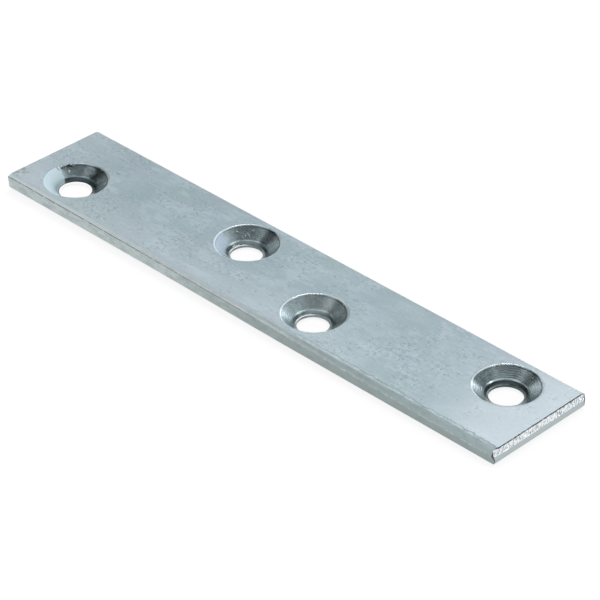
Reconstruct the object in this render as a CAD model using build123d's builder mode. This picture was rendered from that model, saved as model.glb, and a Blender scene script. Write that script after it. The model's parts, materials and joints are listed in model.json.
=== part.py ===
from build123d import *

import os
from math import radians, tan

# Mending plate: a flat strip of zinc-plated steel, screwed across a joint to hold it.
# It is one piece, with four countersunk holes in two staggered rows.
#
# X runs along the strip, Y across it, and Z up out of the countersunk face.
# The origin is the middle of the underside, the face that lies on the work.
# Sizes are in millimetres and angles in degrees.

# Strip
plate_length = 100.0  # between the cropped ends
strip_width = 19.0  # across the arrises, where the strip is widest
thickness = 2.5

# Long sides, as a slitting knife leaves them
shoulder_width = 1.1  # of the rolled shoulder, in from the arris
shoulder_drop = 0.5  # from the top face down to the arris
wall_draft = 0.2  # how far a side leans in, from the arris down to the underside
edge_radius = 0.12  # along the underside

# Ends, as a cropping blade coming up from below leaves them
burnish_height = 1.2  # the smooth lower band that the blade cut
tear_lean = 0.12  # how far the torn upper band leans back at the top face
crop_radius = 0.35  # along the underside

# Screw holes
bore_diameter = 5.0
mouth_break = 0.1  # where the bore leaves the underside
floor_height = 0.45  # from the underside to the narrow floor under the countersink
neck_diameter = 5.6  # of the coned neck, at that floor
neck_angle = 55
head_diameter = 9.7  # of the countersink, before its rim is rounded
head_angle = 100
rim_radius = 0.3

# Hole pattern
shoulder_gap = 0.45  # flat steel between a countersink and the rolled shoulder
end_gap = 3.9  # steel between a countersink and the cropped end
middle_pitch = 20.0  # along the strip, between the two middle holes

# The rows sit as far out as the countersinks allow, and the holes alternate between them.
head_radius = head_diameter / 2
row = strip_width / 2 - shoulder_width - shoulder_gap - head_radius
outer = plate_length / 2 - end_gap - head_radius
inner = middle_pitch / 2
hole_places = [(-outer, -row), (-inner, row), (inner, -row), (outer, row)]


with BuildPart() as mending_plate:
    # Slit strip: half the section, mirrored, then run out past both ends
    with BuildSketch(Plane.YZ) as strip_section:
        with BuildLine():
            arris = (strip_width / 2, thickness - shoulder_drop)
            shoulder = TangentArc((strip_width / 2 - shoulder_width, thickness), arris, tangent=(1, 0))
            wall = Line(arris, (strip_width / 2 - wall_draft, 0))
            Polyline(shoulder @ 0, (0, thickness), (0, 0), wall @ 1)
        make_face()
        fillet(strip_section.vertices().group_by(Axis.Y)[0].sort_by(Axis.X)[-1], edge_radius)
        mirror(about=Plane.YZ)
    extrude(amount=plate_length, both=True)

    # Cropped ends: burnished below, torn and leaning back above
    with BuildSketch(Plane.XZ) as crop_section:
        with BuildLine():
            Polyline(
                (0, 0),
                (plate_length / 2, 0),
                (plate_length / 2, burnish_height),
                (plate_length / 2 - tear_lean, thickness),
                (0, thickness),
                close=True,
            )
        make_face()
        fillet(crop_section.vertices().group_by(Axis.Y)[0].sort_by(Axis.X)[-1], crop_radius)
        mirror(about=Plane.YZ)
    extrude(amount=strip_width, both=True, mode=Mode.INTERSECT)

    # Bores, broken where they leave the underside
    with Locations(*hole_places):
        Hole(bore_diameter / 2)
    underside = mending_plate.faces().sort_by(Axis.Z)[0]
    chamfer(underside.inner_wires().edges(), mouth_break)

    # Countersinks, then the steeper neck that the punch's nose leaves below each
    with Locations(*[(x, y, thickness) for x, y in hole_places]):
        CounterSinkHole(bore_diameter / 2, head_radius, counter_sink_angle=head_angle)
    with Locations(*[(x, y, floor_height) for x, y in hole_places]):
        nose_length = thickness - floor_height
        Cone(
            bottom_radius=neck_diameter / 2,
            top_radius=neck_diameter / 2 + nose_length * tan(radians(neck_angle / 2)),
            height=nose_length,
            align=(Align.CENTER, Align.CENTER, Align.MIN),
            mode=Mode.SUBTRACT,
        )
    top_face = mending_plate.faces().sort_by(Axis.Z)[-1]
    fillet(top_face.inner_wires().edges(), rim_radius)

mending_plate.part.label = "mending_plate"

os.makedirs("parts", exist_ok=True)
export_step(mending_plate.part, "parts/mending_plate.step")
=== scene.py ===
import json
import math

import bmesh
import bpy
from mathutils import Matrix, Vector, noise


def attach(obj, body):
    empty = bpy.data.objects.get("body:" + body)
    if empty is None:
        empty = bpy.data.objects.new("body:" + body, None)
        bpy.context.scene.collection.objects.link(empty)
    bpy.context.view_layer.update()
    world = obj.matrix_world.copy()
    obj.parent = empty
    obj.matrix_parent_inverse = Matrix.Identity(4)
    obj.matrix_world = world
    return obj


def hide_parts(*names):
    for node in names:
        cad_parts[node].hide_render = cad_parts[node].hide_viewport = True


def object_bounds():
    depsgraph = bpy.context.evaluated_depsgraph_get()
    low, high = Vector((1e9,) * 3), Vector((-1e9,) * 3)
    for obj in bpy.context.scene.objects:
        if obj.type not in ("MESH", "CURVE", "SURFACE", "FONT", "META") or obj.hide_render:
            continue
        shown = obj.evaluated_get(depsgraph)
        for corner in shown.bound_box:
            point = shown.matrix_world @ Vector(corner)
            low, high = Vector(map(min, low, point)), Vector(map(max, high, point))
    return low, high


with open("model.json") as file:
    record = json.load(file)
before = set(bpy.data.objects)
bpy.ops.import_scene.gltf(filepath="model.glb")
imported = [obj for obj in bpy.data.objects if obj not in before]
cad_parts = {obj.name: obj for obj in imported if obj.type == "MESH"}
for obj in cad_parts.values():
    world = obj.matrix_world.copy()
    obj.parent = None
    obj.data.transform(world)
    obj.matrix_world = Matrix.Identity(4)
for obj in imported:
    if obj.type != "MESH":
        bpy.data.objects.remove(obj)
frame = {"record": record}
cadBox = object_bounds()
mm = 0.001

# The strip and its bores as drawn, in millimetres: x runs along the strip and z up
length, width, thick = [round((high - low) / mm, 3) for low, high in zip(*cadBox)]
bores = [mount for mount in frame["record"]["mounts"] if mount["kind"] == "bore"]
boreRadius = bores[0]["dims"]["r_mm"]
holePlaces = [[round(bore["pos_m"][axis] / mm, 3) for axis in (0, 1)] for bore in bores]
holePlaces.sort()  # from the left


def nothingSelected():
    if bpy.context.mode != "OBJECT":
        bpy.ops.object.mode_set(mode="OBJECT")
    bpy.ops.object.select_all(action="DESELECT")


def editing(obj):
    bpy.context.view_layer.objects.active = obj
    bpy.ops.object.mode_set(mode="EDIT")
    bpy.ops.mesh.select_mode(type="FACE")
    return bmesh.from_edit_mesh(obj.data)


def doneEditing(obj):
    bmesh.update_edit_mesh(obj.data)
    bpy.ops.object.mode_set(mode="OBJECT")


def pick(mesh, parts, wanted):
    for face in mesh.faces:
        face.select_set(False)
    for edge in mesh.edges:
        edge.select_set(False)
    for part in parts:
        if wanted(part):
            part.select_set(True)


def eased(value, low, high):
    # 0 at low and 1 at high, level at both ends
    share = min(1, max(0, (value - low) / (high - low)))
    return share * share * (3 - 2 * share)


# The bar as the slitting knife leaves it
strip = {
    "shoulderWidth": 1.1,  # of the rolled shoulder, in from the arris
    "shoulderDrop": 0.5,  # from the top face down to the arris
    "wallDraft": 0.2,
    "cornerTrim": 0.05,  # takes the bottom corner off each long side
    "cornerLift": 0.035,
    "cell": 0.1,  # spacing of the mesh across an end
    "roundRows": 5,  # rows of the mesh round the underside edge of an end
    "endRows": 24,  # and above it
    "sideCuts": 330,  # along the two long sides
    "smoothAngle": 26.0,
}

# What the cropping blade left on each end, where 1 is the right end and -1 the left end
crop = {
    "underRadius": {1: 0.35, -1: 0.18},
    "burnishHeight": 1.2,  # of the smooth band that the blade cut
    "burnishWander": 0.09,
    "tearLean": {1: 0.12, -1: 0.04},
    "tearDepth": {1: 0.12, -1: 0.03},
    "tearMean": 0.45,  # share of the depth that is there all over
    "coarse": 0.35,  # and what coarse ridges, chips and fine ridges add to it
    "chips": 0.32,
    "fine": 0.25,
    "tearSetsIn": 0.12,  # height over which the tear starts
    "tearEasesOff": 0.25,  # and over which it fades under the top face
    "tearAtTop": 0.35,
    "ridgeSlant": 0.75,
    "dragDepth": 0.012,
    "cornerRound": 0.14,
    "cornerDepth": {1: 0.08, -1: 0.0},
    "chipWidth": 1.3,  # the near corner of the right end broke away with the tear
    "chipDepth": 0.45,
    "chipFrom": 0.6,  # height where it starts
    "chipFull": 1.4,
}


def shoulderHeight(y):
    # arc that leaves the top face level and drops to the arris
    wide, drop = strip["shoulderWidth"], strip["shoulderDrop"]
    over = abs(y) - (width / 2 - wide)
    if over <= 0:
        return thick
    radius = (wide * wide + drop * drop) / (2 * drop)
    return thick - (radius - math.sqrt(max(radius * radius - over * over, 0)))


def endRows():
    # heights of the mesh rows up an end, close together round the underside edge
    radius, turns, count = crop["underRadius"][1], strip["roundRows"], strip["endRows"]
    rows = [radius * (1 - math.cos(math.radians(90 * k / turns))) for k in range(turns + 1)]
    return rows + [radius + (thick - radius) * (k + 1) / count for k in range(count)]


def mergeFlat(bar, level, reach):
    # makes one face of the flat at this height
    def onFlat(face):
        middle = face.calc_center_median()
        return abs(middle.z - level) < 1e-7 and abs(middle.y) < reach and abs(face.normal.z) > 0.99

    mesh = bmesh.from_edit_mesh(bar.data)
    pick(mesh, mesh.faces, onFlat)
    bpy.ops.mesh.dissolve_faces()


def makeBar():
    nothingSelected()
    rows = endRows()
    across = round(width / strip["cell"])
    up = len(rows) - 1
    bpy.ops.mesh.primitive_grid_add(x_subdivisions=across, y_subdivisions=up, size=2)
    bar = bpy.context.object
    bar.name = "platedStrip"
    mesh = editing(bar)
    half = width / 2
    arrisHeight = thick - strip["shoulderDrop"]
    for v in mesh.verts:
        y = v.co.x * half
        row = round((v.co.y + 1) / 2 * up)
        z = rows[row] * shoulderHeight(y) / thick
        lean = strip["wallDraft"] * max(0, 1 - z / arrisHeight)
        y *= (half - lean) / half
        if row == 0 and abs(v.co.x) > 0.9999:  # the outermost of the lowest row
            y *= (half - strip["cornerTrim"] - lean) / (half - lean)
            z = strip["cornerLift"]
        v.co = Vector((-length / 2, y, z)) * mm
    bmesh.update_edit_mesh(bar.data)
    bpy.ops.mesh.select_all(action="SELECT")
    bpy.ops.mesh.extrude_region_move(TRANSFORM_OT_translate={"value": (length * mm, 0, 0)})
    bpy.ops.mesh.select_all(action="SELECT")
    bpy.ops.mesh.normals_make_consistent(inside=False)
    mergeFlat(bar, thick * mm, (half - strip["shoulderWidth"]) * mm)
    mergeFlat(bar, 0.0, half * mm)

    # rows of vertices along the sides, for what the handling left there
    bpy.ops.mesh.select_mode(type="EDGE")
    mesh = bmesh.from_edit_mesh(bar.data)
    pick(mesh, mesh.edges, lambda edge: edge.calc_length() > 0.9 * length * mm)
    bpy.ops.mesh.subdivide(number_cuts=strip["sideCuts"])
    bpy.ops.object.mode_set(mode="OBJECT")
    print("bar:", len(bar.data.vertices), "vertices", len(bar.data.polygons), "faces")
    return bar


def torn(y, z, side):
    # share of the tear's depth, with ridges that lean along the blade's travel
    seed = 31.0 * side
    slant = y - crop["ridgeSlant"] * z
    coarse = noise.noise(Vector((slant * 1.1, z * 0.7, seed)))
    chips = noise.cell(Vector((slant * 2.3, z * 1.5 + slant * 0.35, seed + 7)))
    fine = noise.noise(Vector((slant * 5.5, z * 2.6, seed + 13)))
    ridges = crop["coarse"] * coarse + crop["chips"] * (chips - 0.5) + crop["fine"] * fine
    return crop["tearMean"] + ridges


def cutBand(y, side):
    # height at which the cut gives way to the tear
    slow = noise.noise(Vector((y * 0.55, 3.3, 17.0 * side)))
    quick = noise.noise(Vector((y * 2.1, 9.1, 5.0 * side)))
    return crop["burnishHeight"] + crop["burnishWander"] * (slow + 0.6 * quick)


def cutBack(y, z, side):
    # how far an end stands back at this place
    radius = crop["underRadius"][side]
    back = radius - math.sqrt(max(radius * radius - (radius - z) ** 2, 0)) if z < radius else 0.0
    drag = noise.noise(Vector((y * 6.0, z * 0.25, side * 3.0)))
    back += crop["dragDepth"] * (0.5 + 0.5 * drag)
    band = cutBand(y, side)
    if z > band:
        into = (z - band) / (thick - band)
        back += crop["tearLean"][side] * into
        atTop = crop["tearAtTop"]
        under = min(1, max(0, (thick - z) / crop["tearEasesOff"]))
        fade = min(1, (z - band) / crop["tearSetsIn"]) * (atTop + (1 - atTop) * under)
        back += crop["tearDepth"][side] * max(0, torn(y, z, side)) * fade
    edge = width / 2 - abs(y)
    if edge < crop["cornerRound"]:
        back += crop["cornerDepth"][side] * (1 - edge / crop["cornerRound"]) ** 2
    if side > 0 and y < 0 and edge < crop["chipWidth"]:
        chip = (1 - edge / crop["chipWidth"]) ** 1.5
        back += crop["chipDepth"] * chip * eased(z, crop["chipFrom"], crop["chipFull"])
    return back


def shapeEnds(bar):
    mesh = editing(bar)
    for v in mesh.verts:
        if abs(abs(v.co.x) - length / 2 * mm) <= 1e-6:
            side = 1 if v.co.x > 0 else -1
            v.co.x = side * (length / 2 - cutBack(v.co.y / mm, v.co.z / mm, side)) * mm
    doneEditing(bar)
    print("ends: cropped")


# What slitting and handling left along the arrises
arris = {
    "nearHeight": 1.93,  # of the near arris in the middle of the plate
    "nearFall": 0.0095,  # it runs lower towards the right, by this times x
    "nearBend": 0.00009,  # and by this times x squared
    "steepFrom": -25.0,  # from here to there the near shoulder grows steeper
    "steepTo": 25.0,
    "steeper": 0.35,
    "underRound": 0.45,  # of the near underside edge, at the left
    "underFrom": -20.0,  # where that starts to fade
    "underTo": 15.0,
    "underReach": 0.3,  # how far in from the arris it takes the wall along
    "clearOfEnd": 0.7,  # length next to an end that stays as it is
    "clearOfUnder": 0.2,  # and height above the underside
    "reach": 0.55,  # how far from the arris the wear goes
    "wave": 0.02,
    "wear": 0.018,
    "nickDepth": 0.10,
    "nickSpacing": 1.6,
    "nickRarity": 0.32,  # higher leaves fewer of them
}


def arrisAt(x, y):
    # height of the arris along the plate
    if y > 0:
        return thick - strip["shoulderDrop"]
    return arris["nearHeight"] - arris["nearFall"] * x - arris["nearBend"] * x * x


def rollShoulder(bar):
    # presses the near shoulder down to where the arris runs
    mesh = editing(bar)
    for v in mesh.verts:
        x, y, z = v.co / mm
        high = shoulderHeight(max(y, -width / 2))
        if y < 0 and high < thick:
            bend = 1 + arris["steeper"] * eased(x, arris["steepFrom"], arris["steepTo"])
            fall = ((thick - high) / strip["shoulderDrop"]) ** bend * (thick - arrisAt(x, y))
            v.co.z = z * (thick - fall) / high * mm
    doneEditing(bar)


def shapeSides(bar):
    # a slight wave in the arris, with small nicks where the strip was knocked
    mesh = editing(bar)
    half = width / 2
    for v in mesh.verts:
        x, y, z = v.co / mm
        under = arris["underRound"] * (1 - eased(x, arris["underFrom"], arris["underTo"]))
        if y < 0 and abs(y) > half - arris["underReach"] and z < under:
            v.co.y += (under - math.sqrt(under * under - (under - z) ** 2)) * mm
        inFromArris = half - abs(y)
        onFlat = inFromArris > strip["shoulderWidth"] + 0.01
        if onFlat or abs(x) > length / 2 - arris["clearOfEnd"] or z < arris["clearOfUnder"]:
            continue
        side = 1 if y > 0 else -1
        near = max(0, 1 - math.hypot(inFromArris * 1.4, z - arrisAt(x, y)) / arris["reach"])
        wave = arris["wave"] * (0.5 + 0.5 * noise.noise(Vector((x * 0.35, side * 5.0, 1.0))))
        knock = noise.noise(Vector((x / arris["nickSpacing"], side * 9.0, z * 0.8)))
        nick = arris["nickDepth"] * max(0, knock - arris["nickRarity"]) * 2.2
        fine = arris["wear"] * max(0, noise.noise(Vector((x * 2.4, side * 2.0, z * 3.0))))
        v.co.y -= side * near * (wave + nick + fine) * mm
        v.co.z -= near * 0.5 * nick * mm
    doneEditing(bar)
    print("sides: rolled and worn")


# The countersunk screw holes
screwHole = {
    "break": 0.1,  # where the bore leaves the underside
    "floorHeight": 0.45,  # of the narrow step under the neck
    "floorBreak": 0.03,
    "neck": 5.6,
    "neckAngle": 55.0,
    "head": 9.7,
    "headAngle": 100.0,
    "rimRadius": 0.3,
    "rimLift": 0.0025,  # lets the rim run out into the top face
    "flare": 0.06,  # of the cutter above the rim
    "below": 0.6,  # how far the cutter runs past the two flats
    "above": 0.8,
    "steps": 144,
    "wobble": 0.018,
}

# What differs from hole to hole, from the left
eachHole = {
    "headWider": (0.13, 0.13, 0.06, 0.14),  # in radius, as below
    "boreWider": (0.06, -0.04, -0.08, 0.02),
    "boreShiftX": (-0.43, -0.09, -0.12, -0.26),  # how far the bore lies off its head
    "boreShiftY": (0.06, -0.16, -0.12, 0.17),
    "boreUpTo": 0.5,  # height where a bore starts to widen into its head
    "headFrom": 2.3,
    "nickReach": 0.45,  # how far down from the top face a nick goes
    "nickFade": 0.35,
    "rimNicks": [  # hole, bearing in degrees, half width in degrees, depth
        (0, 143, 5, 0.16), (0, 155, 5, 0.18), (0, 166, 4, 0.14), (0, 174, 3, 0.10),
        (1, 60, 4, 0.03), (2, 205, 3, 0.03),
        (3, 128, 3, 0.10), (3, 84, 3, 0.05),
    ],
}


def along(first, last, share):
    # the point that lies this share of the way from the first to the last
    return tuple(a + (b - a) * share for a, b in zip(first, last))


def neckTopAndRim():
    # where the neck meets the countersink, and how far past its edge the rounded rim goes
    h = screwHole
    neck, head = h["neck"] / 2, h["head"] / 2
    cone = math.tan(math.radians(h["headAngle"] / 2))
    nose = math.tan(math.radians(h["neckAngle"] / 2))
    depth = (head - neck - (thick - h["floorHeight"]) * nose) / (cone - nose)
    slope = 90 - h["headAngle"] / 2
    return (head - depth * cone, thick - depth), h["rimRadius"] * math.tan(math.radians(slope / 2))


def holeProfile():
    # half section of what a hole removes, from below the underside to above the top face
    h = screwHole
    floor, neck, head = h["floorHeight"], h["neck"] / 2, h["head"] / 2
    neckTop, tangent = neckTopAndRim()
    points = [
        (0.0, -h["below"]),
        (boreRadius + h["break"] + h["below"], -h["below"]),
        (boreRadius, h["break"]),
        (boreRadius, floor - h["floorBreak"]),
        (boreRadius + h["floorBreak"], floor),
        (neck, floor),
    ]
    points += [along((neck, floor), neckTop, k / 3) for k in (1, 2, 3)]

    radius = h["rimRadius"]
    slope = 90 - h["headAngle"] / 2
    outward, down = math.cos(math.radians(slope)), math.sin(math.radians(slope))
    rimStart = (head - tangent * outward, thick - tangent * down)
    points += [along(neckTop, rimStart, k / 7) for k in range(1, 7)]
    for k in range(9):
        turn = math.radians(slope * (1 - k / 8))
        level = thick - radius + radius * math.cos(turn) + h["rimLift"]
        points.append((head + tangent - radius * math.sin(turn), level))
    wide = head + tangent + h["flare"]
    return points + [(wide, thick + 0.03), (wide, thick + h["above"]), (0.0, thick + h["above"])]


def makeCutter():
    nothingSelected()
    bpy.ops.mesh.primitive_plane_add(size=mm)
    cutter = bpy.context.object
    cutter.name = "holeCutter"
    editing(cutter)
    bpy.ops.mesh.select_all(action="SELECT")
    bpy.ops.mesh.merge(type="CENTER")
    bpy.ops.mesh.select_mode(type="VERT")
    points = [Vector((out, 0, up)) for out, up in holeProfile()]
    mesh = bmesh.from_edit_mesh(cutter.data)
    mesh.verts.ensure_lookup_table()
    mesh.verts[0].co = points[0] * mm
    mesh.verts[0].select_set(True)
    bmesh.update_edit_mesh(cutter.data)
    for before, after in zip(points, points[1:]):
        bpy.ops.mesh.extrude_vertices_move(TRANSFORM_OT_translate={"value": (after - before) * mm})
    bpy.ops.mesh.select_all(action="SELECT")
    bpy.ops.mesh.spin(steps=screwHole["steps"], angle=math.tau, center=(0, 0, 0), axis=(0, 0, 1))
    bpy.ops.mesh.select_all(action="SELECT")
    bpy.ops.mesh.remove_doubles(threshold=0.5e-6)
    bpy.ops.mesh.normals_make_consistent(inside=False)
    bpy.ops.object.mode_set(mode="OBJECT")
    return cutter


def nicksAt(index, angle, z):
    # depth of this hole's rim nicks at a bearing, from the rim down a little way
    high = min(1, max(0, (z - (thick - eachHole["nickReach"])) / eachHole["nickFade"]))
    depth = 0.0
    for hole, bearing, wide, deep in eachHole["rimNicks"]:
        if hole == index:
            off = (math.degrees(angle) - bearing + 180) % 360 - 180
            rough = 0.6 + 0.6 * noise.noise(Vector((angle * 14, z * 2, hole)))
            depth += deep * max(0, 1 - abs(off) / wide) * rough * high
    return depth


def roughen(cutter, index, place):
    # each hole wobbles a little and keeps its own nicks, then moves to its place
    mesh = editing(cutter)
    for v in mesh.verts:
        x, y, z = v.co / mm
        radius = math.hypot(x, y)
        if radius > 0.5:
            angle = math.atan2(y, x)
            ring = Vector((math.cos(angle) * 1.4, math.sin(angle) * 1.4, index * 5.0 + z * 0.5))
            grow = screwHole["wobble"] * noise.noise(ring) + nicksAt(index, angle, z)
            upper = eased(z, eachHole["boreUpTo"], eachHole["headFrom"])
            grow += eachHole["headWider"][index] * upper + eachHole["boreWider"][index] * (1 - upper)
            x, y = x * (radius + grow) / radius, y * (radius + grow) / radius
            x += eachHole["boreShiftX"][index] * (1 - upper)
            y += eachHole["boreShiftY"][index] * (1 - upper)
        v.co = Vector((x + place[0], y + place[1], z)) * mm
    doneEditing(cutter)


def drill(bar):
    first = makeCutter()
    for index, place in enumerate(holePlaces):
        nothingSelected()
        first.select_set(True)
        bpy.context.view_layer.objects.active = first
        bpy.ops.object.duplicate(linked=False)
        cutter = bpy.context.object
        roughen(cutter, index, place)
        nothingSelected()
        bpy.context.view_layer.objects.active = bar
        cut = bar.modifiers.new("screwHole", "BOOLEAN")
        cut.operation = "DIFFERENCE"
        cut.solver = "EXACT"
        cut.object = cutter
        bpy.ops.object.modifier_apply(modifier=cut.name)
        bpy.data.objects.remove(cutter)
    bpy.data.objects.remove(first)
    print("holes:", len(holePlaces), "cut,", len(bar.data.polygons), "faces")


def finishShading(bar):
    nothingSelected()
    bar.select_set(True)
    bpy.context.view_layer.objects.active = bar
    bpy.ops.object.shade_smooth_by_angle(angle=math.radians(strip["smoothAngle"]))
    even = bar.modifiers.new("evenNormals", "WEIGHTED_NORMAL")
    even.mode = "FACE_AREA"
    even.weight = 100
    even.keep_sharp = True
    bpy.ops.object.modifier_apply(modifier=even.name)
    # marks the two cropped ends for the finish
    marks = bar.data.attributes.new("cutEnd", "FLOAT", "FACE")
    reach = (length / 2 - 1.0) * mm
    for mark, face in zip(marks.data, bar.data.polygons):
        mark.value = 1.0 if abs(face.normal.x) > 0.45 and abs(face.center.x) > reach else 0.0


class Wire:
    # a shader socket that can be added and multiplied like a number
    def __init__(self, tree, socket):
        self.tree = tree
        self.socket = socket

    def node(self, kind, settings=None, inputs=None, output=0):
        made = self.tree.nodes.new(kind)
        for name, value in (settings or {}).items():
            setattr(made, name, value)
        for name, value in (inputs or {}).items():
            if isinstance(value, Wire):
                self.tree.links.new(value.socket, made.inputs[name])
            else:
                made.inputs[name].default_value = value
        return Wire(self.tree, made.outputs[output])

    def reckon(self, operation, first, second=0.0):
        return self.node("ShaderNodeMath", {"operation": operation}, {0: first, 1: second})

    def __add__(self, other):
        return self.reckon("ADD", self, other)

    def __radd__(self, other):
        return self.reckon("ADD", other, self)

    def __sub__(self, other):
        return self.reckon("SUBTRACT", self, other)

    def __rsub__(self, other):
        return self.reckon("SUBTRACT", other, self)

    def __mul__(self, other):
        return self.reckon("MULTIPLY", self, other)

    def __rmul__(self, other):
        return self.reckon("MULTIPLY", other, self)

    def __truediv__(self, other):
        return self.reckon("DIVIDE", self, other)

    def __rtruediv__(self, other):
        return self.reckon("DIVIDE", other, self)

    def most(self, other):
        return self.reckon("MAXIMUM", self, other)

    def past(self, limit):
        return self.reckon("GREATER_THAN", self, limit)

    def root(self):
        return self.reckon("SQRT", self)

    def size(self):
        return self.reckon("ABSOLUTE", self)

    def ripple(self):
        return self.reckon("SINE", self) * 0.5 + 0.5

    def bearing(self, across):  # angle of the point (across, self), in radians
        return self.reckon("ARCTAN2", self, across)

    def between(self, low, high):  # 0 at low, 1 at high, eased
        ends = {"Value": self, "From Min": low, "From Max": high}
        return self.node("ShaderNodeMapRange", {"interpolation_type": "SMOOTHSTEP"}, ends)

    def band(self, low, high, soft):  # 1 from low to high, fading out over soft
        return self.between(low - soft, low) * (1 - self.between(high, high + soft))

    def mixed(self, first, second):  # colours, by this wire
        return self.node("ShaderNodeMix", {"data_type": "RGBA"}, {"Factor": self, 6: first, 7: second}, 2)

    def part(self, which):
        return self.node("ShaderNodeSeparateXYZ", inputs={0: self}, output=which)

    def placed(self, stretch=(1.0, 1.0, 1.0), shift=0.0, turn=0.0):
        return self.node("ShaderNodeMapping", inputs={
            "Vector": self, "Scale": stretch, "Location": (shift, shift, 0), "Rotation": (turn, 0, 0)})

    def cloudy(self, scale, detail=3.0, rough=0.55):  # soft noise over a place
        return self.node("ShaderNodeTexNoise", inputs={
            "Vector": self, "Scale": scale, "Detail": detail, "Roughness": rough})

    def cells(self, perMm, output):  # one output of a flat pattern of cells
        inputs = {"Vector": self, "Scale": perMm}
        return self.node("ShaderNodeTexVoronoi", {"voronoi_dimensions": "2D"}, inputs, output)

    def dots(self, perMm, full, fade):  # one in each cell: 1 out to full, 0 from fade on
        return 1 - self.cells(perMm, "Distance").between(full, fade)


def rgb(r, g, b):
    return (r, g, b, 1.0)


# Zinc on the two flats
flats = {
    "light": rgb(0.357, 0.439, 0.474),
    "dark": rgb(0.297, 0.369, 0.407),
    "cloud": rgb(0.310, 0.382, 0.419),
    "green": rgb(0.288, 0.378, 0.390),
    "violet": rgb(0.331, 0.373, 0.440),
    "bloom": rgb(0.408, 0.482, 0.517),
    # painted sheen for the paler ends and near side
    "endTone": rgb(0.52, 0.58, 0.62),
    "speck": rgb(0.17, 0.21, 0.235),
    # painted highlight on pit edges and grain, and on the bright scratches
    "glint": rgb(0.62, 0.70, 0.74),
    "stain": rgb(0.22, 0.26, 0.22),
    "roughness": 0.50,
    "paleRight": 20.0,  # length of the stretch at each end painted paler as a sheen
    "paleLeft": 12.0,
    "paleNearFrom": 6.0,  # the near side is painted paler as a sheen up to here, and then less so
    "paleNearTo": 36.0,
    "pitsPerMm": 1.15,
    "pitsThinFrom": 30.0,  # towards the right end there are fewer
    "pitsThinTo": 42.0,
    "pitFull": 0.04,  # radius of the dark mark
    "pitFade": 0.17,
    "pitShare": 1.98,  # lower leaves more of them
    "pitDepth": 1.6,
    "lonePits": 0.955,  # outside the clusters; lower leaves more of them
    "glintShift": 0.16,  # from a pit to the painted highlight on its bright edge
    "bumpStrength": 0.35,
    "bumpHeight": 0.06,
}


def pitting(place, x):
    # pits lie in loose clusters, fewer of them at the right end; only some cells hold one
    perMm, share = flats["pitsPerMm"], flats["pitShare"]
    full, fade = flats["pitFull"], flats["pitFade"]
    thinner = x.between(flats["pitsThinFrom"], flats["pitsThinTo"])
    cluster = place.placed((0.7, 1.0, 1.0), 19.0).cloudy(0.22, 3.0, 0.6) - thinner * 0.07
    plain = place.placed((0.75, 1.0, 1.0))
    # shifted a little, for the painted highlight on each pit's bright edge
    nudged = place.placed((0.75, 1.0, 1.0), flats["glintShift"])
    chance = plain.cells(perMm, "Color")
    lone = chance.part(1).past(flats["lonePits"])
    holds = (chance.part(0) + cluster * 2.2).between(share, share + 0.12).most(lone)
    # and dashes, where the clusters are thickest
    drawn = place.placed((0.28, 1.3, 1.0), 6.0)
    dashChance = drawn.cells(perMm, "Color").part(0)
    dashed = (dashChance + cluster * 2.2).between(share + 0.16, share + 0.26)
    pit = (plain.dots(perMm, full, fade) * holds).most(drawn.dots(perMm, 0.05, 0.16) * dashed * 0.8)
    return pit, nudged.dots(perMm, full, fade) * holds, cluster.between(0.42, 0.58)


def cornerStain(x, y, rough):
    # a faint brown bracket round the near left corner
    end, side = -length / 2, -width / 2
    bracket = (1 - x.between(end + 0.5, end + 1.4)).most(y.band(side + 2.1, side + 2.9, 0.3))
    bracket = bracket * (1 - x.between(end + 1.1, end + 2.4)) * y.band(side + 1.1, side + 3.3, 0.4)
    return bracket * rough.between(0.42, 0.52)


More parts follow.
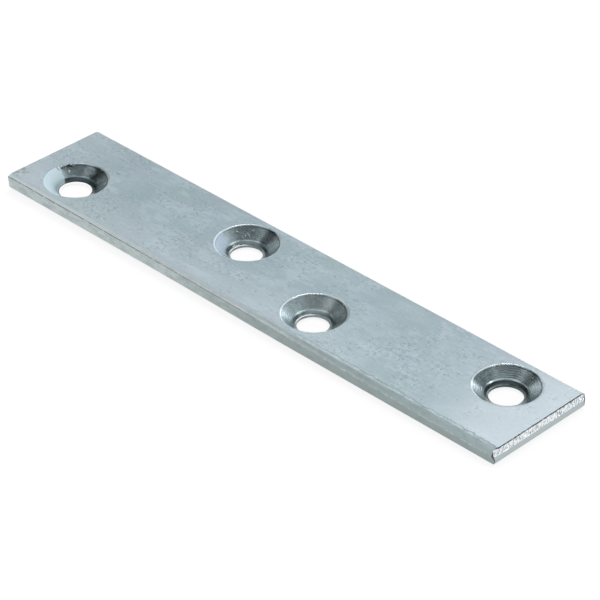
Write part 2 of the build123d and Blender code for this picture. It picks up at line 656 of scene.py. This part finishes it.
def flatFinish(place, x, y):
    # returns the colour, the height for the bump and two patterns for the roughness
    cloud = place.placed((0.65, 1.0, 1.0)).cloudy(0.16, 4.0, 0.6)
    blotch = place.placed((0.6, 1.0, 1.0), 3.0).cloudy(0.75, 3.0, 0.6)
    grain = place.placed(shift=8.0).cloudy(5.0, 2.0, 0.6)
    scratch = place.placed((0.12, 3.2, 1.0), 12.0).cloudy(2.2, 1.0, 0.4).between(0.66, 0.72)
    greenish = place.placed((0.6, 1.0, 1.0), 31.0).cloudy(0.13, 3.0, 0.6).between(0.47, 0.64)
    violetish = place.placed((0.6, 1.0, 1.0), 43.0).cloudy(0.20, 3.0, 0.6).between(0.50, 0.66)
    bloom = place.placed((0.5, 1.0, 1.0), 57.0).cloudy(0.30, 4.0, 0.65).between(0.56, 0.62)
    rough = place.placed((0.9, 1.0, 1.0), 77.0).cloudy(1.6, 4.0, 0.75)
    pit, glint, crowd = pitting(place, x)

    colour = cloud.between(0.37, 0.63).mixed(flats["dark"], flats["light"])
    colour = (blotch.between(0.46, 0.56) * 0.6).mixed(colour, flats["cloud"])
    colour = (grain.between(0.45, 0.75) * 0.22).mixed(colour, flats["dark"])
    colour = (greenish * 0.75).mixed(colour, flats["green"])
    colour = (violetish * 0.4).mixed(colour, flats["violet"])
    colour = (bloom * 0.50).mixed(colour, flats["bloom"])

    # painted sheen: paler towards both ends and along the near side
    end = length / 2
    sheen = x.between(end - flats["paleRight"], end) * 0.75
    sheen = sheen + (1 - x.between(-end, flats["paleLeft"] - end)) * 0.25
    near = (1 - y.between(-9.0, 0.0)) * (1 - x.between(flats["paleNearFrom"], flats["paleNearTo"]))
    colour = (sheen + near * 0.32).mixed(colour, flats["endTone"])

    # where the clusters lie the grain shows dark specks, and bright ones painted as glints
    crowded = crowd * 0.8 + 0.2
    colour = (rough.between(0.52, 0.62) * crowded * 0.40).mixed(colour, flats["speck"])
    colour = ((1 - rough.between(0.34, 0.44)) * crowded * 0.22).mixed(colour, flats["glint"])
    # painted highlights on the pits' bright edges, the dark pits, and bright scratches that are wear with
    # a painted glint
    colour = (glint * 0.26).mixed(colour, flats["glint"])
    colour = (pit * 0.55).mixed(colour, flats["speck"])
    colour = (scratch * 0.18).mixed(colour, flats["glint"])
    colour = (cornerStain(x, y, rough) * 0.6).mixed(colour, flats["stain"])
    height = grain * 0.35 + blotch * 0.25 - pit * flats["pitDepth"] - scratch * 0.25
    return colour, height, grain, cloud


# Zinc inside the four holes
sinks = {
    "cone": rgb(0.36, 0.45, 0.485),
    # darker worked metal, partly painted shade inside the countersink
    "coneDark": rgb(0.17, 0.225, 0.235),
    # painted shade for the darker bands round the cones
    "shade": rgb(0.07, 0.095, 0.10),
    # painted shade on the steep neck, and a paler painted shade for some holes
    "neck": rgb(0.055, 0.075, 0.08),
    "innerLight": rgb(0.15, 0.19, 0.195),
    # painted highlight for the lighter bands, the neck's upper edge and a flash
    "lip": rgb(0.50, 0.60, 0.63),
    # painted highlight on the rim
    "rim": rgb(0.62, 0.70, 0.73),
    # painted shade along the burr inside the rim
    "burr": rgb(0.03, 0.045, 0.05),
    "bright": rgb(0.59, 0.70, 0.75),
    "soft": rgb(0.47, 0.56, 0.66),
    "halo": rgb(0.19, 0.23, 0.25),
    # painted white glint, for the step, the first bore's wall and a drop of zinc
    "bead": rgb(0.95, 0.97, 0.97),
    "darkNeck": (1.0, 0.2, 0.2, 1.0),  # how deep the painted neck shade is, from hole to hole; the next, likewise, is the step's painted highlight
    "brightStep": (0.0, 1.0, 0.9, 0.35),
    "shiftAtNeck": 0.92,  # share of a bore's shift that its neck has
    "beadPlace": (-3.76, 1.78),  # a drop of zinc on the cone of the first hole, painted as a white glint
    "beadSize": 0.19,
    "bandEdge": 16.0,  # degrees over which a band fades
    "bands": [  # painted shade (below zero) or painted highlight round a cone: hole, bearing, half width, share
        (0, 75, 20, -0.95), (0, 130, 25, -0.26),
        (1, 72, 16, -0.50), (1, 165, 14, -0.20),
        (2, 40, 14, -0.92), (2, 116, 34, 0.92), (2, 192, 12, -0.18), (2, 225, 20, 0.32),
        (3, 190, 21, -0.92), (3, 230, 14, 0.80), (3, 44, 12, 0.40), (3, 76, 8, 0.30),
    ],
}


def alongHoles(x, values):
    # a number that steps from hole to hole along the plate
    stepped = values[0]
    for k in range(1, len(values)):
        past = x.past((holePlaces[k - 1][0] + holePlaces[k][0]) / 2)
        stepped = past * (values[k] - values[k - 1]) + stepped
    return stepped


class FromHole:
    # where a place lies as seen from its own hole; rim, neck and bore are outward from those edges
    def __init__(self, x, y):
        self.x = x
        self.dx = x - alongHoles(x, [place[0] for place in holePlaces])
        self.dy = y - alongHoles(x, [place[1] for place in holePlaces])
        self.reach = (self.dx * self.dx + self.dy * self.dy).root()
        self.bearing = self.dy.bearing(self.dx)
        self.turned = (0 - self.dy).bearing(0 - self.dx)  # the same, counted from the other side
        neckTop, rounding = neckTopAndRim()
        self.rim = self.reach - self.each(eachHole["headWider"]) - (screwHole["head"] / 2 + rounding)
        lowX = self.dx - self.each(eachHole["boreShiftX"]) * sinks["shiftAtNeck"]
        lowY = self.dy - self.each(eachHole["boreShiftY"]) * sinks["shiftAtNeck"]
        low = (lowX * lowX + lowY * lowY).root() - self.each(eachHole["boreWider"])
        self.neck = low - neckTop[0]
        self.bore = low - boreRadius
        self.first = self.only(0, 1)
        self.second = self.only(1, 1)

    def each(self, values):
        return alongHoles(self.x, values)

    def only(self, index, value):  # the value in one hole and nothing in the others
        return self.each([value if k == index else 0 for k in range(len(holePlaces))])


def turnedCone(place, at):
    # rings left by the countersink, under clouds and dots, with bands of painted highlight and painted
    # shade
    patchy = place.placed(shift=27.0).cloudy(0.9, 3.0, 0.6).between(0.40, 0.58)
    rings = (at.reach * 26.0 + place.placed(shift=2.0).cloudy(0.9, 2.0) * 9.0).ripple()
    mottle = place.placed(shift=51.0).cloudy(1.6, 4.0, 0.7).between(0.36, 0.66)
    dots = place.placed(shift=63.0).cloudy(4.5, 2.0, 0.6).between(0.50, 0.66)
    worked = rings * (patchy * 0.30 + 0.15) + mottle * 0.38 + dots * 0.30
    # the darker tone is partly painted shade inside the countersink
    tone = worked.mixed(sinks["cone"], sinks["coneDark"])
    lightTexture = (1 - mottle) * 0.50 + (1 - rings) * 0.20 + 0.42
    darkTexture = mottle * 0.25 + 0.75
    # bands round each cone by bearing: painted shade, or painted highlight
    for hole, middle, half, share in sinks["bands"]:
        outermost = math.cos(math.radians(half + sinks["bandEdge"]))
        middle = math.radians(middle)
        facing = (at.dx * math.cos(middle) + at.dy * math.sin(middle)) / at.reach
        lit = facing.between(outermost, math.cos(math.radians(half))) * at.only(hole, abs(share))
        if share < 0:
            tone = (lit * darkTexture).mixed(tone, sinks["shade"])
        else:
            tone = (lit * lightTexture).mixed(tone, sinks["lip"])
    return tone, rings, patchy


def smoothPatches(place, at, patchy, tone):
    # the first hole keeps one smooth bright patch with a clean edge, and the second a softer one
    wander = place.placed(shift=71.0).cloudy(1.1, 2.0) - 0.5
    smooth = (at.turned + wander * 0.2).band(-0.12, 2.0, 0.06) * at.first * at.bore.between(0.05, 0.25)
    faint = (at.turned + wander * 0.3).band(0.35, 1.2, 0.45) * at.second * at.bore.between(0.4, 1.1)
    tone = (smooth * (at.rim.between(-2.29, -0.89) * 0.46 + 0.50)).mixed(tone, sinks["bright"])
    tone = (faint * 0.80).mixed(tone, sinks["soft"])
    # a painted highlight flash across the first cone
    flash = at.bearing.band(1.70, 2.05, 0.15) * at.rim.band(-1.19, -0.49, 0.2) * at.first * patchy
    return (flash * 0.7).mixed(tone, sinks["lip"]), smooth, faint


def neckAndStep(at, z, patchy, smooth, tone):
    # painted shade on the steep neck, a painted highlight on its upper edge and on the step under it, and
    # the wall of the first bore, polished and painted near white as a highlight
    floor = z - screwHole["floorHeight"]
    darkNeck = at.each(sinks["darkNeck"])
    # painted shade on the neck
    neck = (1 - at.neck.between(-0.065, 0.015)) * (1 - smooth)
    inner = darkNeck.mixed(sinks["innerLight"], sinks["neck"])
    tone = (neck * (darkNeck * 0.25 + 0.65)).mixed(tone, inner)
    # painted highlight on the neck's upper edge
    edge = at.neck.band(-0.015, 0.035, 0.08) * (patchy * 0.7 + 0.3) * (1 - smooth) * (1 - at.first * 0.8)
    tone = (edge * 0.8).mixed(tone, sinks["lip"])
    # painted highlight on the step under the neck, strongest on one side
    facing = 1 - (at.turned + 0.15).size().between(0.4, 1.0) * 0.9
    step = (1 - at.bore.between(0.16, 0.30)) * floor.between(-0.05, -0.01) * facing
    tone = (step * at.each(sinks["brightStep"])).mixed(tone, sinks["bead"])
    # the first bore's wall is polished, and also painted near white as a highlight
    polishedAndHighlit = (1 - floor.between(-0.05, 0.0)) * at.first
    return polishedAndHighlit.mixed(tone, sinks["bead"]), polishedAndHighlit


def rimHighlightAndBurrShade(place, at, patchy, smooth, tone):
    # a painted shade line along the burr inside the rim, heaviest towards the right and back, and a
    # painted highlight on the rim round it
    sideways = (at.bearing - 1.0).size().between(0.5, 1.4)
    burr = at.rim.band(-0.36, -0.30, 0.06) * ((1 - sideways) * 0.65 + 0.35) * (patchy * 0.4 + 0.6)
    # chattered rim at the far left of the first hole, darkened with the same painted shade
    chatter = place.placed(shift=83.0).cloudy(1.5, 4.0, 0.7).between(0.42, 0.56)
    chatter = chatter * at.rim.band(-0.46, 0.02, 0.08) * at.bearing.band(2.58, 3.02, 0.12) * at.first
    burr = (burr * (1 - smooth)).most(chatter)
    tone = (burr * 0.9).mixed(tone, sinks["burr"])
    # painted highlight along the rim, weaker on the right
    rim = at.rim.band(-0.24, -0.02, 0.05) * (1 - smooth) * (1 - chatter) * (sideways * 0.35 + 0.35)
    tone = rim.mixed(tone, sinks["rim"])
    # a drop of zinc on the first cone, painted as a white glint
    beadX, beadY = at.dx - sinks["beadPlace"][0], at.dy - sinks["beadPlace"][1]
    bead = 1 - (beadX * beadX + beadY * beadY).root().between(0.08, sinks["beadSize"])
    return (bead * at.first).mixed(tone, sinks["bead"])


def sinkFinish(place, x, y, z):
    # returns the tone, and masks for the inside, the halo round it, the rings and two finishes
    at = FromHole(x, y)
    tone, rings, patchy = turnedCone(place, at)
    tone, smooth, faint = smoothPatches(place, at, patchy, tone)
    tone, polishedAndHighlit = neckAndStep(at, z, patchy, smooth, tone)
    tone = rimHighlightAndBurrShade(place, at, patchy, smooth, tone)
    inside = (1 - at.rim.between(0.0, 0.08)) * z.between(0.01, 0.04)  # leaves the underside alone
    halo = at.rim.band(0.07, 0.10, 0.06) * patchy * 0.4 * z.past(thick / 2)
    smooth = smooth.most(faint * 0.8)
    return tone, inside, halo, rings, smooth * inside, polishedAndHighlit * inside


# Zinc on the long sides, the shoulders and the arrises
sides = {
    # painted light along the wall: lighter on the left, shaded towards the right
    "wallLeft": rgb(0.53, 0.60, 0.60),
    "wallRight": rgb(0.34, 0.40, 0.40),
    "wallDark": rgb(0.26, 0.31, 0.31),
    # painted shade in the crease at the flat's edge
    "crease": rgb(0.30, 0.365, 0.40),
    # painted sheen and shade along the near shoulder
    "shoulderLeft": rgb(0.76, 0.83, 0.85),
    "shoulderTop": rgb(0.58, 0.69, 0.715),
    "shoulderRight": rgb(0.42, 0.505, 0.515),
    "worn": rgb(0.66, 0.73, 0.73),
    "line": rgb(0.05, 0.065, 0.065),
}


def aboveArris(x, z, near):
    # height over the arris, as arrisAt has it
    farHeight = thick - strip["shoulderDrop"]
    nearer = arris["nearHeight"] - farHeight - x * arris["nearFall"] - x * x * arris["nearBend"]
    return z - farHeight - near * nearer


def sideFinish(place, x, y, z, out, colour):
    near = 1 - y.past(0.0)
    right = x.between(arris["steepFrom"], arris["steepTo"])
    over = aboveArris(x, z, near)
    fine = place.placed((0.5, 1.0, 1.0), 7.0).cloudy(1.5, 4.0, 0.7).between(0.38, 0.66)
    ragged = place.placed((0.8, 0.5, 0.0), 35.0).cloudy(0.9, 4.0, 0.75) - 0.5

    # the near shoulder in painted light: a painted sheen on the left, and on the right a crease of
    # painted shade, a painted highlight band and a duller band of painted shade
    edge = out + ragged * (right * 0.7 + 0.5)
    onLeft = out.between(-0.85, -0.10).mixed(flats["bloom"], sides["shoulderLeft"])
    onRight = edge.between(-0.92, -0.65).mixed(sides["crease"], sides["shoulderTop"])
    onRight = out.between(-0.60, -0.15).mixed(onRight, sides["shoulderRight"])
    tone = (x + ragged * 20.0).between(-6.0, 26.0).mixed(onLeft, onRight)
    tone = (fine * (right * 0.25 + 0.12)).mixed(tone, sides["wallRight"])
    shoulder = edge.between(-1.00, -0.60) * (1 - right) + edge.between(-1.12, -0.96) * right
    colour = (shoulder * over.between(-0.04, 0.04) * near * 0.95).mixed(colour, tone)

    # the wall painted lighter on the left and shaded towards the right
    wall = out.between(-0.45, -0.15) * (1 - over.between(-0.02, 0.08))
    blend = (x * 0.03 + place.placed((0.5, 1.0, 1.0), 6.0).cloudy(0.35, 3.0, 0.6)).between(0.05, 0.85)
    tone = blend.mixed(sides["wallLeft"], sides["wallRight"])
    colour = wall.mixed(colour, (fine * 0.45).mixed(tone, sides["wallDark"]))

    # worn bright where the arris was knocked, and a thin broken crack along it on the left
    worn = out.between(-0.45, -0.30) * over.band(-0.08, 0.06, 0.06) * x.between(-2.0, 16.0) * near
    worn = worn * place.placed((1.0, 0.0, 1.2), 33.0).cloudy(1.9, 4.0, 0.75).between(0.46, 0.60)
    colour = (worn * 0.50).mixed(colour, sides["worn"])
    broken = place.placed((1.0, 0.0, 0.0), 22.0).cloudy(0.7, 3.0, 0.65).between(0.40, 0.46)
    crack = out.between(-0.14, -0.08) * over.band(-0.01, 0.03, 0.03) * broken * (1 - x.between(0.0, 12.0))
    return (crack * near * 0.75).mixed(colour, sides["line"]), wall, shoulder * near


# Bare and cut zinc on the two cropped ends
ends = {
    "burnish": rgb(0.47, 0.53, 0.55),
    "torn": rgb(0.88, 0.91, 0.93),
    "tornShade": rgb(0.34, 0.39, 0.42),
    # painted shade under the top edge and down the corners
    "line": rgb(0.05, 0.065, 0.065),
    "tearGrain": 1.35,
    "strokeLean": -0.9,  # turn of the torn strokes, in radians
}


def endFinish(place, z, out, atEnd, colour):
    wander = place.placed((0.0, 1.0, 0.0), 4.0).cloudy(0.9, 2.0) - 0.5
    tear = atEnd * (z - crop["burnishHeight"] - wander * 0.35).between(-0.06, 0.06)
    colour = (atEnd * (1 - tear)).mixed(colour, ends["burnish"])
    strokes = place.placed((1.0, 5.0, 1.7), turn=ends["strokeLean"]).cloudy(ends["tearGrain"], 3.0, 0.6)
    colour = tear.mixed(colour, strokes.between(0.41, 0.53).mixed(ends["tornShade"], ends["torn"]))
    # painted shade: a dark line where the tear breaks out under the top face, with gaps, and down the
    # corners
    gaps = place.placed((0.0, 1.0, 0.0), 15.0).cloudy(0.8, 2.0, 0.5).between(0.30, 0.40)
    corners = out.between(-0.34, -0.24) * z.between(0.25, 0.5) * (gaps * 0.6 + 0.4)
    line = (z.between(thick - 0.30, thick - 0.22) * gaps).most(corners)
    return (atEnd * line * 0.95).mixed(colour, ends["line"]), tear, strokes


def zincPlate():
    material = bpy.data.materials.new("zincPlate")
    material.use_nodes = True
    tree = material.node_tree
    shader = tree.nodes["Principled BSDF"]
    place = Wire(tree, shader.outputs[0]).node("ShaderNodeTexCoord", output="Object")
    place = place.node("ShaderNodeVectorMath", {"operation": "SCALE"}, {0: place, "Scale": 1 / mm})
    x, y, z = place.part(0), place.part(1), place.part(2)
    out = y.size() - width / 2  # outward from the arris, so below zero on the plate
    atEnd = place.node("ShaderNodeAttribute", {"attribute_name": "cutEnd"}, output="Fac")

    colour, height, grain, cloud = flatFinish(place, x, y)
    inner, inside, halo, rings, smooth, polishedAndHighlit = sinkFinish(place, x, y, z)
    colour, wall, shoulder = sideFinish(place, x, y, z, out, colour)
    colour = inside.mixed(halo.mixed(colour, sinks["halo"]), inner)
    colour, tear, strokes = endFinish(place, z, out, atEnd, colour)
    tree.links.new(colour.socket, shader.inputs["Base Color"])

    roughness = flats["roughness"] + (cloud - 0.5) * 0.16 + (grain - 0.5) * 0.14
    roughness = roughness - inside * 0.20 + smooth * 0.40 - polishedAndHighlit * 0.25 - tear * 0.10 - wall * 0.05
    roughness = roughness + shoulder * (1 - inside) * (1 - wall) * 0.12
    tree.links.new(roughness.socket, shader.inputs["Roughness"])
    shader.inputs["Metallic"].default_value = 1.0

    height = height + rings * inside * (1 - smooth) * 0.40 + tear * strokes * 1.6
    bump = place.node("ShaderNodeBump", inputs={
        "Height": height, "Strength": flats["bumpStrength"], "Distance": flats["bumpHeight"] * mm})
    tree.links.new(bump.socket, shader.inputs["Normal"])
    return material


bar = makeBar()
rollShoulder(bar)
shapeEnds(bar)
shapeSides(bar)
drill(bar)
finishShading(bar)
bar.data.materials.clear()
bar.data.materials.append(zincPlate())
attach(bar, "root")
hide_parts("mending_plate")
print("plate: dressed")


# Pale floor, three softboxes, two dark cards that the metal mirrors, and the camera, in metres
studio = {
    "floorSize": 6.0,
    "floorDrop": 0.0002,
    "floorTone": 0.93,
    "floorGlow": 0.82,  # share of the floor that the lens and the metal see as plain white
    "worldLight": 1.0,
    "softboxes": [  # name, power, size, place; each faces the plate
        ("keyBox", 0.9, (0.30, 0.30), (0.62, 0.42, 0.22)),
        ("rimBox", 0.75, (0.20, 0.10), (-0.10, 0.20, 0.54)),
        ("sideBox", 0.55, (0.40, 0.22), (-0.14, 0.74, 0.14)),
    ],
    "darkCards": [  # name, tone, size, place; each faces the plate
        ("ceilingFlag", 0.20, (0.80, 0.60), (0.12, -0.12, 0.64)),
        ("leftFlag", 0.04, (0.60, 0.44), (-0.56, -0.30, 0.48)),
    ],
    "cameraPlace": (0.24328, -0.24105, 0.23005),
    "cameraAim": (0.00253, 0.00153, -0.00108),
    "lens": 169.25,
}


def matte(name, tone, roughness):
    material = bpy.data.materials.new(name)
    material.use_nodes = True
    shader = material.node_tree.nodes["Principled BSDF"]
    shader.inputs["Base Color"].default_value = rgb(tone, tone, tone)
    shader.inputs["Roughness"].default_value = roughness
    return material, shader


def cameraOrMirror(start):
    # 1 for rays that end in the lens or in polished metal or glass
    camera = start.node("ShaderNodeLightPath", output="Is Camera Ray")
    glossy = start.node("ShaderNodeLightPath", output="Is Glossy Ray")
    through = start.node("ShaderNodeLightPath", output="Is Transmission Ray")
    return camera.most(glossy).most(through)


def makeFloor():
    nothingSelected()
    bpy.ops.mesh.primitive_plane_add(size=studio["floorSize"], location=(0, 0, -studio["floorDrop"]))
    floor = bpy.context.object
    floor.name = "studioFloor"
    material, shader = matte("palePaper", studio["floorTone"], 0.9)
    shader.inputs["Specular IOR Level"].default_value = 0.0
    tree = material.node_tree
    start = Wire(tree, shader.outputs[0])
    white = start.node("ShaderNodeEmission", inputs={"Color": rgb(1, 1, 1), "Strength": 1.0})
    seen = cameraOrMirror(start) * studio["floorGlow"]
    both = start.node("ShaderNodeMixShader", inputs={0: seen, 1: start, 2: white})
    tree.links.new(both.socket, tree.nodes["Material Output"].inputs["Surface"])
    floor.data.materials.append(material)


def makeWorld():
    world = bpy.data.worlds.new("studioWorld")
    world.use_nodes = True
    light = studio["worldLight"]
    world.node_tree.nodes["Background"].inputs["Color"].default_value = rgb(light, light, light)
    bpy.context.scene.world = world


def softbox(name, power, size, place):
    nothingSelected()
    bpy.ops.object.light_add(type="AREA", location=place)
    lamp = bpy.context.object
    lamp.name = name
    lamp.data.shape = "RECTANGLE"
    lamp.data.size, lamp.data.size_y = size
    lamp.data.energy = power
    lamp.rotation_euler = (-Vector(place)).to_track_quat("-Z", "Y").to_euler()


def darkCard(name, tone, size, place):
    # out of the camera's sight, and only the metal mirrors it
    nothingSelected()
    bpy.ops.mesh.primitive_plane_add(size=1, location=place)
    card = bpy.context.object
    card.name = name
    card.scale = (size[0], size[1], 1)
    card.rotation_euler = (-Vector(place)).to_track_quat("Z", "Y").to_euler()
    card.visible_camera = False
    card.visible_shadow = False
    card.visible_diffuse = False
    card.data.materials.append(matte(name, tone, 1.0)[0])


def aimCamera():
    bpy.ops.object.camera_add(location=studio["cameraPlace"])
    camera = bpy.context.object
    camera.data.sensor_width = 36
    camera.data.lens = studio["lens"]
    camera.data.clip_start = 0.01
    camera.data.clip_end = 50
    toPlate = Vector(studio["cameraAim"]) - camera.location
    camera.rotation_euler = toPlate.to_track_quat("-Z", "Y").to_euler()
    bpy.context.scene.camera = camera


makeFloor()
makeWorld()
for box in studio["softboxes"]:
    softbox(*box)
for card in studio["darkCards"]:
    darkCard(*card)
aimCamera()
bpy.context.scene.view_settings.view_transform = "Standard"
print("studio: set")
